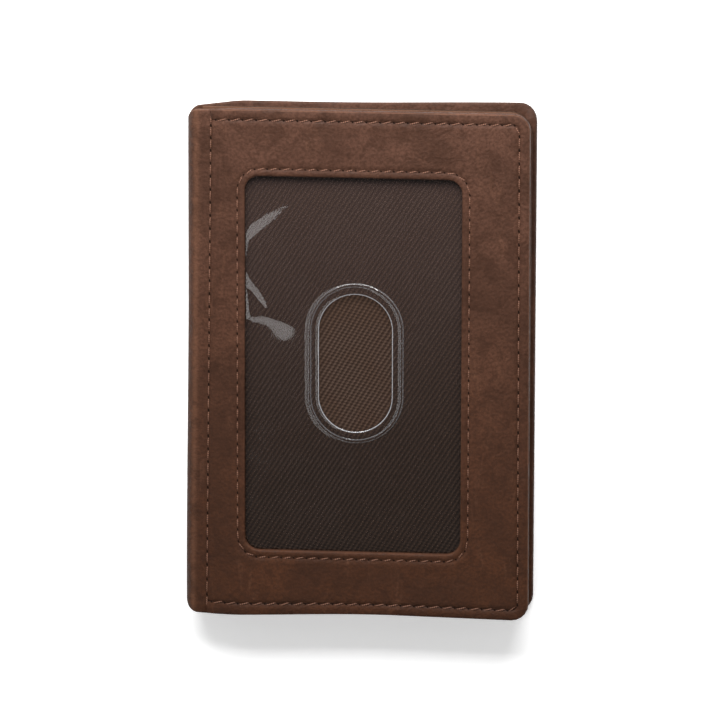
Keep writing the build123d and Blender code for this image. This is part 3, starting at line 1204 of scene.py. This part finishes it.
@dataclass
class Sewing:
    """Rows of stitches, each made from one thread loop that dips into its holes."""

    form: LeafForm
    side: Side
    radius: float = 0.15
    fill: float = 0.82
    dip: float = 0.26
    sunk: float = 0.16
    slant: float = math.radians(15)
    hole: float = 0.31
    hole_depth: float = 0.24
    inner_lift: float = 0.05
    edge_pitch: float = 2.86
    fold_pitch: float = 2.8
    window_pitch: float = 2.62
    window_offset: float = 1.6
    levels: tuple[Pair, ...] = ((32.2, 1.6), (21.2, 1.2), (10.2, 0.8), (-99.0, 0.4))

    def ball(self, rings: int) -> tuple[np.ndarray, list[list[int]]]:
        """A small ball to shape a stitch or a hole from.

        Args:
            rings: How many rings of faces it has.

        Returns:
            Its points and faces.
        """
        clear_bench()
        bpy.ops.mesh.primitive_uv_sphere_add(segments=8, ring_count=rings, radius=1)
        ball = bpy.context.object
        points = np.array([v.co for v in ball.data.vertices])
        faces = [list(p.vertices) for p in ball.data.polygons]
        bpy.data.objects.remove(ball)
        return points, faces

    def loop(self) -> Shape:
        """One stitch of unit length: a rod with rounded ends that dip into the holes.

        Returns:
            Its points, its faces, and the twist of its strands.
        """
        co, faces = self.ball(7)
        u = np.sign(co[:, 2]) * np.abs(co[:, 2]) ** 0.85
        ring = np.hypot(co[:, 0], co[:, 1])
        full = np.where(ring > 1e-6, (1 - np.abs(u) ** 3.5) ** 0.5 / np.maximum(ring, 1e-6), 0)
        angle = np.arctan2(co[:, 1], co[:, 0])
        # the ball's poles lie at the stitch's two ends
        points = np.stack([u / 2, co[:, 0] * full, co[:, 1] * full], -1)
        points[:, 2] -= self.dip / self.radius * np.abs(points[:, 0] * 2) ** 2.6
        return points, faces, angle

    def pit(self) -> Shape:
        """One needle hole's painted shade: a ball to be flattened to a dark bead.

        Returns:
            Its points, its faces, and no twist.
        """
        points, faces = self.ball(4)
        return points, faces, np.zeros(len(points))

    def join_copies(self, name: str, base: Shape, places: list[tuple[np.ndarray, np.ndarray]]) -> bpy.types.Object:
        """Copies one small shape to many places as one piece.

        Args:
            name: The piece's name.
            base: The shape's points, faces and twist.
            places: An origin and three axes, as rows, for each copy.

        Returns:
            The piece.
        """
        points, faces, angle = base
        all_points, all_faces, marks = [], [], []
        for k, (origin, axes) in enumerate(places):
            all_faces.extend([[i + k * len(points) for i in f] for f in faces])
            all_points.append(points @ axes + origin)
            marks.append(np.stack([points[:, 0] * np.linalg.norm(axes[0]), angle, np.zeros(len(points))], -1))
        mesh = bpy.data.meshes.new(name)
        mesh.from_pydata((np.concatenate(all_points) * MM).tolist(), [], all_faces)
        obj = bpy.data.objects.new(name, mesh)
        bpy.context.scene.collection.objects.link(obj)
        mark(obj, "hide_place", np.concatenate(marks) * MM)
        clear_bench()
        obj.select_set(True)
        bpy.context.view_layer.objects.active = obj
        open_all()
        face_outwards()
        bpy.ops.object.shade_smooth()
        return settle(obj, name)

    def inner_level(self, y: float) -> float:
        """The height of the leaf's inner face, which steps down at each slot."""
        return next(level for mouth, level in self.levels if y >= mouth)

    def row(self, name: str, path: np.ndarray, pitch: float,
            inside: bool = False) -> tuple[bpy.types.Object, bpy.types.Object]:
        """Sews one row of stitches.

        Args:
            name: The row's name.
            path: The seam's line, in plan.
            pitch: The distance from hole to hole.
            inside: Whether the stitches lie on the leaf's inner face.

        Returns:
            The thread and its needle holes.
        """
        runs = np.concatenate([[0], np.cumsum(np.linalg.norm(np.diff(path, axis=0), axis=1))])
        count = max(2, round(runs[-1] / pitch))
        pitch = runs[-1] / count
        stitches, holes = [], []

        def at(s: float) -> np.ndarray:
            """The place a distance along the seam's line, which is held to its ends."""
            s = min(max(s, 0.0), runs[-1])
            return np.array([np.interp(s, runs, path[:, 0]), np.interp(s, runs, path[:, 1])])

        def solid(p: np.ndarray, depth: float) -> np.ndarray:
            """A point under the face that is sewn.

            Args:
                p: Its place in plan.
                depth: How far under the face it is.

            Returns:
                The point.
            """
            if inside:
                height = self.inner_level(p[1]) + depth - self.inner_lift
                return np.array([p[0], p[1], self.form.mid + self.side.value * height])
            return self.form.place(p[0], p[1], depth, self.side)

        for k in range(count):
            mid = (k + 0.5) * pitch
            jitter = 0.12 * noise.noise(Vector((k * 1.7, len(path), 5.0)))
            a, b = at(mid - pitch * self.fill / 2), at(mid + pitch * self.fill / 2)
            along = (b - a) / np.linalg.norm(b - a)
            lean = self.slant * abs(along[0]) + jitter * 0.6
            shift = np.array([-along[1], along[0]]) * math.tan(lean) * pitch * self.fill / 2
            a, b = a - shift, b + shift
            p, q = solid(a, self.sunk), solid(b, self.sunk)
            centre = solid((a + b) / 2, self.sunk + 0.04 * jitter)
            x_axis = q - p
            up = centre - solid((a + b) / 2, self.sunk + 1.0)
            up = up / np.linalg.norm(up)
            y_axis = np.cross(up, x_axis)
            y_axis = y_axis / np.linalg.norm(y_axis)
            stitches.append((centre, np.stack([x_axis, y_axis * self.radius, up * self.radius])))
        for k in range(count + 1):
            p = at(k * pitch)
            centre = solid(p, self.hole_depth)
            up = centre - solid(p, self.hole_depth + 1.0)
            up = up / np.linalg.norm(up)
            x_axis = np.cross(np.array([0.0, 1.0, 0.0] if inside else [-0.45, 0.89, 0.0]), up)
            x_axis = x_axis / np.linalg.norm(x_axis)
            y_axis = np.cross(up, x_axis)
            holes.append((centre, np.stack([x_axis * self.hole * 0.7, y_axis * self.hole * 1.15, up * 0.1])))
        return (self.join_copies(name, self.loop(), stitches),
                self.join_copies(name.replace("thread", "holes"), self.pit(), holes))

    def build(self, finishes: Finishes) -> None:
        """Sews the leaf's seams.

        Args:
            finishes: The wallet's finishes.
        """
        word, form = self.side.word, self.form
        edge, _ = form.edge_path(form.edge_inset, 0.5)
        ys = np.linspace(form.top - 0.75, float(form.bottom_at(form.fold_seam_low)) + 0.75, 60)
        fold = np.stack([form.fold_seam(ys), ys], -1)
        inner_fold = fold[(fold[:, 1] < form.top - form.edge_inset) & (fold[:, 1] > form.bottom + 4)]
        rows = [(f"{word}_edge_thread_line", edge[2:-2], self.edge_pitch, False, f"{word}_edge_thread"),
                (f"{word}_fold_thread_line", fold, self.fold_pitch, False, f"{word}_fold_thread"),
                (f"{word}_bobbin_thread_line", edge[2:-2], self.edge_pitch, True, f"{word}_bobbin_thread"),
                (f"{word}_bobbin_fold_thread_line", inner_fold, self.fold_pitch, True, f"{word}_bobbin_thread")]
        if self.side is Side.FRONT:
            window = form.window_path(self.window_offset, 0.5)
            rows.append(("window_thread_line", window, self.window_pitch, False, "window_thread"))
        for name, path, pitch, inside, node in rows:
            thread, pits = self.row(name, path, pitch, inside)
            dress(thread, finishes.thread, [node], self.side.body)
            dress(pits, finishes.hole, [node], self.side.body)


# ----------------------------------------------------------------- the window


@dataclass
class WindowFilm:
    """The clear film behind the window, with a beaded thumb slot."""

    form: LeafForm
    slot_radius: float = 7.65
    slot_half: float = 7.05
    level: float = 3.78
    thickness: float = 0.16
    rays: int = 384
    rows_out: int = 30
    under_edge: tuple[float, ...] = (3.2, 1.6, 0.5, 0.12, 0.03, 0.0)
    buckles: tuple[tuple[float, ...], ...] = (
        (-0.9, 26.4, 14.4, 36.6, 0.12, 0.75), (0.2, 17.6, 5.6, 10.2, -0.045, 0.5),
        (-0.8, 9.4, 11.8, 7.9, -0.24, 1.4))
    # Each bead row: its distance from the slot's edge, its height, and how far it is painted as a bright highlight
    # line.
    bead: Profile = field(default_factory=lambda: [
        (0.0, 0.0, 0.7), (0.0, 0.08, 1.0), (0.02, 0.115, 1.0), (0.06, 0.15, 1.0), (0.11, 0.165, 0.9),
        (0.17, 0.155, 0.55), (0.24, 0.125, 0.1), (0.32, 0.11, 0.0), (0.9, 0.11, 0.0), (1.5, 0.11, 0.0),
        (1.58, 0.125, 0.15), (1.65, 0.165, 0.5), (1.72, 0.2, 0.5), (1.8, 0.21, 0.1), (2.0, 0.21, 0.03),
        (2.18, 0.21, 0.1), (2.25, 0.19, 0.45), (2.31, 0.14, 0.5), (2.37, 0.06, 0.35), (2.43, 0.015, 0.05),
        (2.52, 0.0, 0.0), (3.2, 0.0, 0.0)])
    slot_centre: Pair = (-0.85, 0.4)

    def slot_gap(self, x: np.ndarray, y: np.ndarray) -> np.ndarray:
        """The distance outward from the thumb slot's edge."""
        cx, cy = self.slot_centre
        return np.hypot(x - cx, np.maximum(np.abs(y - cy) - self.slot_half, 0)) - self.slot_radius

    def outer_gap(self, x: np.ndarray, y: np.ndarray) -> np.ndarray:
        """The distance outward from the film's cut edge.

        Args:
            x: Places across the leaf.
            y: Places along it.

        Returns:
            The distance at each place, negative inside.
        """
        low, high = node_box("window_film")
        over = np.maximum(x - high[0], low[0] - x)
        along = np.maximum(y - high[1], low[1] - y)
        return np.maximum(over, along)

    def wave(self, x: np.ndarray, y: np.ndarray) -> np.ndarray:
        """How the film lifts, sags and buckles across the window.

        Args:
            x: Places across the leaf.
            y: Places along it.

        Returns:
            The rise at each place. Each buckle is a short bent wave between two places on the window, measured
            from its left edge and its middle, with a height and a width.
        """
        form = self.form
        inside = -form.window_gap(x, y)
        rise = ease(inside, -0.5, 7.0) * (0.05 * ripple(x, y, 24, 4.0) + 0.03)
        left, low = form.window_centre[0] - form.window_half[0], form.window_centre[1]
        for x0, y0, x1, y1, height, width in self.buckles:
            run = np.array([x1 - x0, y1 - y0])
            length = float(np.hypot(*run))
            tx, ty = run / length
            u = ((x - left - x0) * tx + (y - low - y0) * ty) / length
            bow = 0.12 * length * (u - u * u)
            v = (x - left - x0) * ty - (y - low - y0) * tx + bow
            fade = ease(u, -0.35, 0.05) * (1 - ease(u, 0.35, 1.05))
            wide = width * (0.45 + 0.75 * fade)
            rise = rise + height * fade * np.tanh(v / wide) * np.exp(-(v / (4.2 * width)) ** 2)
        return rise * ease(inside, -1.2, 0.6)

    def build(self, finishes: Finishes) -> None:
        """Makes and dresses the film.

        Args:
            finishes: The wallet's finishes.
        """
        centre = self.slot_centre
        angles = np.linspace(0, math.tau, self.rays + 1)[:-1]
        angles = angles - 0.0016 * np.sin(4 * angles)
        rays = np.stack([np.cos(angles), np.sin(angles)], -1)
        bead = [(reach(self.slot_gap, centre, rays, w), h, edge) for w, h, edge in self.bead]
        a, far = bead[-1][0], reach(self.outer_gap, centre, rays, 0.0)
        outward = [a + (far - a) * k / self.rows_out for k in range(1, self.rows_out + 1)]
        under = [*outward[::-1], *[reach(self.slot_gap, centre, rays, w) for w in self.under_edge]]
        s, lift, bead_highlight = skin_rows([*bead, *[(s, 0.0, 0.0) for s in outward],
                                    *[(s, -self.thickness, 0.0) for s in under]], len(rays))
        x, y = centre[0] + s * rays[:, 0], centre[1] + s * rays[:, 1]
        points = np.stack([x, y, self.form.mid + self.level + lift + self.wave(x, y)], -1)
        film = lay_skin("window_film_sheet", points, points, bead_highlight, loop_rows=True, loop_cols=True)
        dress(film, finishes.film, ["window_film"], "front_leaf")


# ------------------------------------------------------------- the insides


@dataclass
class Insides:
    """A leaf's lining, inner panel, slot facings and tongues."""

    form: LeafForm
    side: Side
    corner: float = 4.6
    small_corner: float = 0.5
    crease: float = 1.7
    crease_depth: float = 0.1
    crease_width: float = 0.16
    crease_cuts: tuple[float, ...] = (-0.45, -0.2, 0.0, 0.2, 0.45)
    edge_round: float = 0.42
    cell: float = 9.0
    cloth_mesh: float = 1.3
    cloth_gap: float = 0.06

    def lean(self, obj: bpy.types.Object) -> None:
        """Raises a piece's lower edge towards the fold, as the outline's bottom edge leans.

        Args:
            obj: The piece.
        """
        form = self.form
        co = points_of(obj)
        near = 1 - ease(co[:, 1], form.bottom + 1, form.bottom + 12)
        co[:, 1] += near * (form.free_edge - co[:, 0]) * form.shortening / (form.free_edge - form.fold_edge)
        move_points(obj, co)

    def cloth(self, name: str, node: str, wave: float, seed: float) -> bpy.types.Object:
        """Makes a sheet of cloth as large as a node, a little uneven.

        Args:
            name: The piece's name.
            node: The node it stands for.
            wave: How far it rises and falls.
            seed: Which part of the unevenness it has.

        Returns:
            The sheet.
        """
        low, high = node_box(node)
        size, middle = high - low, (low + high) / 2
        cols, rows = int(size[0] / self.cloth_mesh), int(size[1] / self.cloth_mesh)
        clear_bench()
        bpy.ops.mesh.primitive_grid_add(x_subdivisions=cols, y_subdivisions=rows, size=1, calc_uvs=False,
                                        location=tuple(middle * MM))
        obj = bpy.context.object
        stretch(obj, size, name)
        co = points_of(obj)
        mark(obj, "hide_place", co * MM)
        if high[0] > self.form.free_edge - 2:
            r = self.corner
            for sign in (1, -1):
                cx, cy = high[0] - r, (high[1] - r if sign > 0 else low[1] + r)
                dx, dy = np.maximum(co[:, 0] - cx, 0), np.maximum((co[:, 1] - cy) * sign, 0)
                far = np.hypot(dx, dy)
                pull = np.where(far > r, r / np.maximum(far, 1e-6), 1.0)
                inside = (dx > 0) & (dy > 0)
                co[:, 0] = np.where(inside, cx + dx * pull, co[:, 0])
                co[:, 1] = np.where(inside, cy + sign * dy * pull, co[:, 1])
        rim = np.minimum.reduce([co[:, 0] - low[0], high[0] - co[:, 0], co[:, 1] - low[1], high[1] - co[:, 1]])
        co[:, 2] += wave * ripple(co[:, 0], co[:, 1], 15, seed) * ease(rim, 2, 9)
        move_points(obj, co)
        if low[1] < self.form.bottom + 4:
            self.lean(obj)
        thick = obj.modifiers.new("thickness", "SOLIDIFY")
        thick.thickness, thick.offset = (size[2] - self.cloth_gap) * MM, 0.0
        bpy.context.view_layer.objects.active = obj
        bpy.ops.object.modifier_apply(modifier=thick.name)
        bpy.ops.object.shade_smooth_by_angle(angle=math.radians(40))
        return obj

    def cut_leather(self, name: str, node: str, crease: bool) -> bpy.types.Object:
        """Cuts a flat leather piece as large as a node, with turned edges and a creased mouth.

        Args:
            name: The piece's name.
            node: The node it stands for.
            crease: Whether a crease line runs beside its upper edge.

        Returns:
            The piece.
        """
        low, high = node_box(node)
        size, middle = high - low, (low + high) / 2
        clear_bench()
        bpy.ops.mesh.primitive_plane_add(size=1, location=(middle[0] * MM, middle[1] * MM, low[2] * MM))
        obj = bpy.context.object
        stretch(obj, size, name)
        whole_top, whole_bottom = high[1] > self.form.top - 3, low[1] < self.form.bottom + 4
        for at_top, big in ((True, whole_top), (False, whole_bottom)):
            pick(obj, Part.POINT, lambda p, t=at_top: p[0, 0] > middle[0] and (p[0, 1] > middle[1]) == t)
            bpy.ops.mesh.bevel(offset=(self.corner if big else self.small_corner) * MM, segments=8 if big else 3,
                               affect="VERTICES")
        bpy.ops.mesh.select_all(action="SELECT")
        bpy.ops.mesh.extrude_region_move(TRANSFORM_OT_translate={"value": (0, 0, size[2] * MM)})
        bpy.ops.mesh.select_all(action="SELECT")
        face_outwards()
        pick(obj, Part.EDGE, lambda p: abs(p[0, 2] - p[1, 2]) < 1e-4)
        bpy.ops.mesh.bevel(offset=size[2] * self.edge_round * MM, segments=3, affect="EDGES")
        beside = [high[1] - self.crease + d for d in self.crease_cuts] if crease else []
        cuts = [(1, y) for y in [*beside, *np.arange(low[1] + 6, high[1] - 3, self.cell)]]
        cuts += [(0, x) for x in np.arange(low[0] + 7, high[0] - 3, self.cell)]
        for axis, place in cuts:
            way = np.eye(3)[axis]
            bpy.ops.mesh.select_all(action="SELECT")
            bpy.ops.mesh.bisect(plane_co=way * place * MM, plane_no=way)
        bpy.ops.object.mode_set(mode="OBJECT")
        co = points_of(obj)
        mark(obj, "hide_place", (co + np.array([0, 0, 40.0 + middle[1]])) * MM)
        # Paler along the top edge, where worn and as a painted highlight, and darker along the crease as painted
        # shade.
        wear_and_painted_light = ease(co[:, 1], high[1] - 0.7, high[1]) * 0.9
        if crease:
            line = np.exp(-((co[:, 1] - (high[1] - self.crease)) / self.crease_width) ** 2)
            inner = (co[:, 2] - middle[2]) * self.side.value < 0
            co[:, 2] += np.where(inner, line * self.crease_depth * self.side.value, 0)
            wear_and_painted_light = wear_and_painted_light - 0.8 * line
        mark(obj, "wear_and_painted_light", wear_and_painted_light)
        move_points(obj, co)
        if whole_bottom:
            self.lean(obj)
        bpy.ops.object.shade_smooth_by_angle(angle=math.radians(35))
        return obj

    def build(self, finishes: Finishes) -> None:
        """Makes and dresses the leaf's inner pieces.

        Args:
            finishes: The wallet's finishes.
        """
        word, body = self.side.word, self.side.body
        lining = self.cloth(f"{word}_twill_lining", f"{word}_lining", 0.03, 2.0 + self.side.value)
        dress(lining, finishes.twill, [f"{word}_lining"], body)
        panel = self.cut_leather(f"{word}_inner_panel", f"{word}_panel", False)
        dress(panel, finishes.inner, [f"{word}_panel"], body)
        for k in (1, 2, 3):
            node = f"{word}_slot_facing_{k}"
            facing = self.cut_leather(f"{word}_card_slot_{k}", node, True)
            dress(facing, finishes.inner, [node], body)
        for k in (1, 2):
            node = f"{word}_slot_tongue_{k}"
            tongue = self.cloth(f"{word}_slot_cloth_{k}", node, 0.02, 7.0 + k)
            dress(tongue, finishes.cloth, [node], body)
        for node in (f"{word}_board", "back_stiffener") if self.side is Side.BACK else (f"{word}_board",):
            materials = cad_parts[node].data.materials
            materials.clear()
            materials.append(finishes.board)
            log.info("%s: kept from the CAD model", node)


# ---------------------------------------------------------------- the studio


def facing(back: Vector, roll: float) -> Matrix:
    """The turn of a lamp or camera that looks against a direction, upright along the wallet.

    Args:
        back: The direction from what it looks at to it.
        roll: How far it is rolled, in radians.

    Returns:
        The turn.
    """
    back = back.normalized()
    right = Vector((0, 1, 0)).cross(back).normalized()
    up = back.cross(right)
    across = right * math.cos(roll) + up * math.sin(roll)
    return Matrix((across, back.cross(across), back)).transposed().to_4x4()


@dataclass
class Studio:
    """The paper, the lights and the camera."""

    distance: float = 1.5
    tilt_across: float = math.radians(5.0)
    tilt_along: float = math.radians(13.5)
    roll: float = math.radians(0.165)
    aim: tuple[float, float, float] = (-0.000233, 0.000233, 0.005)
    lens: float = 359.0
    sensor: float = 36.0
    world: float = 0.12
    paper_size: float = 6.0
    paper_drop: float = 0.00004
    paper_flat: float = 1.8
    paper_curl: float = 1.2
    lamps: tuple[tuple, ...] = (("top_softbox", (-0.01, 0.24, 0.20), (0.32, 0.15), 2.6),
                                ("left_softbox", (-0.21, -0.20, 0.75), (0.17, 0.60), 0.8))

    def paper(self) -> None:
        """Lays the paper, its far edges rolled up out of sight."""
        clear_bench()
        bpy.ops.mesh.primitive_grid_add(x_subdivisions=60, y_subdivisions=60, size=self.paper_size,
                                        location=(0, 0, -self.paper_drop))
        obj = settle(bpy.context.object, "paper")
        for v in obj.data.vertices:
            v.co.z += self.paper_curl * max(0.0, math.hypot(v.co.x, v.co.y) - self.paper_flat) ** 2
        obj.data.materials.append(Backdrop("paper").make())
        bpy.ops.object.shade_smooth()

    def lamp(self, name: str, place: tuple[float, float, float], size: Pair, power: float) -> None:
        """Sets a soft rectangular lamp that faces the wallet.

        Args:
            name: The lamp's name.
            place: Where it stands, in metres.
            size: Its width and height.
            power: Its power in watts.
        """
        data = bpy.data.lights.new(name, "AREA")
        data.shape, data.size, data.size_y, data.energy = "RECTANGLE", *size, power
        lamp = bpy.data.objects.new(name, data)
        lamp.matrix_world = Matrix.Translation(Vector(place)) @ facing(Vector(place), 0.0)
        lamp.visible_camera = False
        bpy.context.scene.collection.objects.link(lamp)

    def camera(self) -> None:
        """Sets the camera over the front leaf, a little from its top and its free side."""
        back = Vector((math.tan(self.tilt_across), math.tan(self.tilt_along), 1)).normalized()
        data = bpy.data.cameras.new("camera")
        data.lens, data.sensor_width, data.clip_end = self.lens, self.sensor, 50.0
        camera = bpy.data.objects.new("camera", data)
        bpy.context.scene.collection.objects.link(camera)
        camera.matrix_world = Matrix.Translation(Vector(self.aim) + back * self.distance) @ facing(back, self.roll)
        bpy.context.scene.camera = camera

    def build(self) -> None:
        """Sets up the studio."""
        self.paper()
        self.camera()
        for name, place, size, power in self.lamps:
            self.lamp(name, place, size, power)
        scene = bpy.context.scene
        scene.view_settings.view_transform = "Standard"
        scene.world = scene.world or bpy.data.worlds.new("studio")
        scene.world.use_nodes = True
        sky = scene.world.node_tree.nodes["Background"]
        sky.inputs["Color"].default_value = (1.0, 1.0, 1.0, 1.0)
        sky.inputs["Strength"].default_value = self.world


def main() -> None:
    """Builds the wallet, piece by piece, and its studio."""
    logging.basicConfig(level=logging.INFO, format="%(name)s: %(message)s")
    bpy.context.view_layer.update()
    form = LeafForm.from_frame()
    finishes = Finishes()
    for side in Side:
        Cover(form, side).build(finishes)
        Insides(form, side).build(finishes)
        Sewing(form, side).build(finishes)
    Fold(form).build(finishes)
    WindowFilm(form).build(finishes)
    Studio().build()


if __name__ == "__main__":
    main()
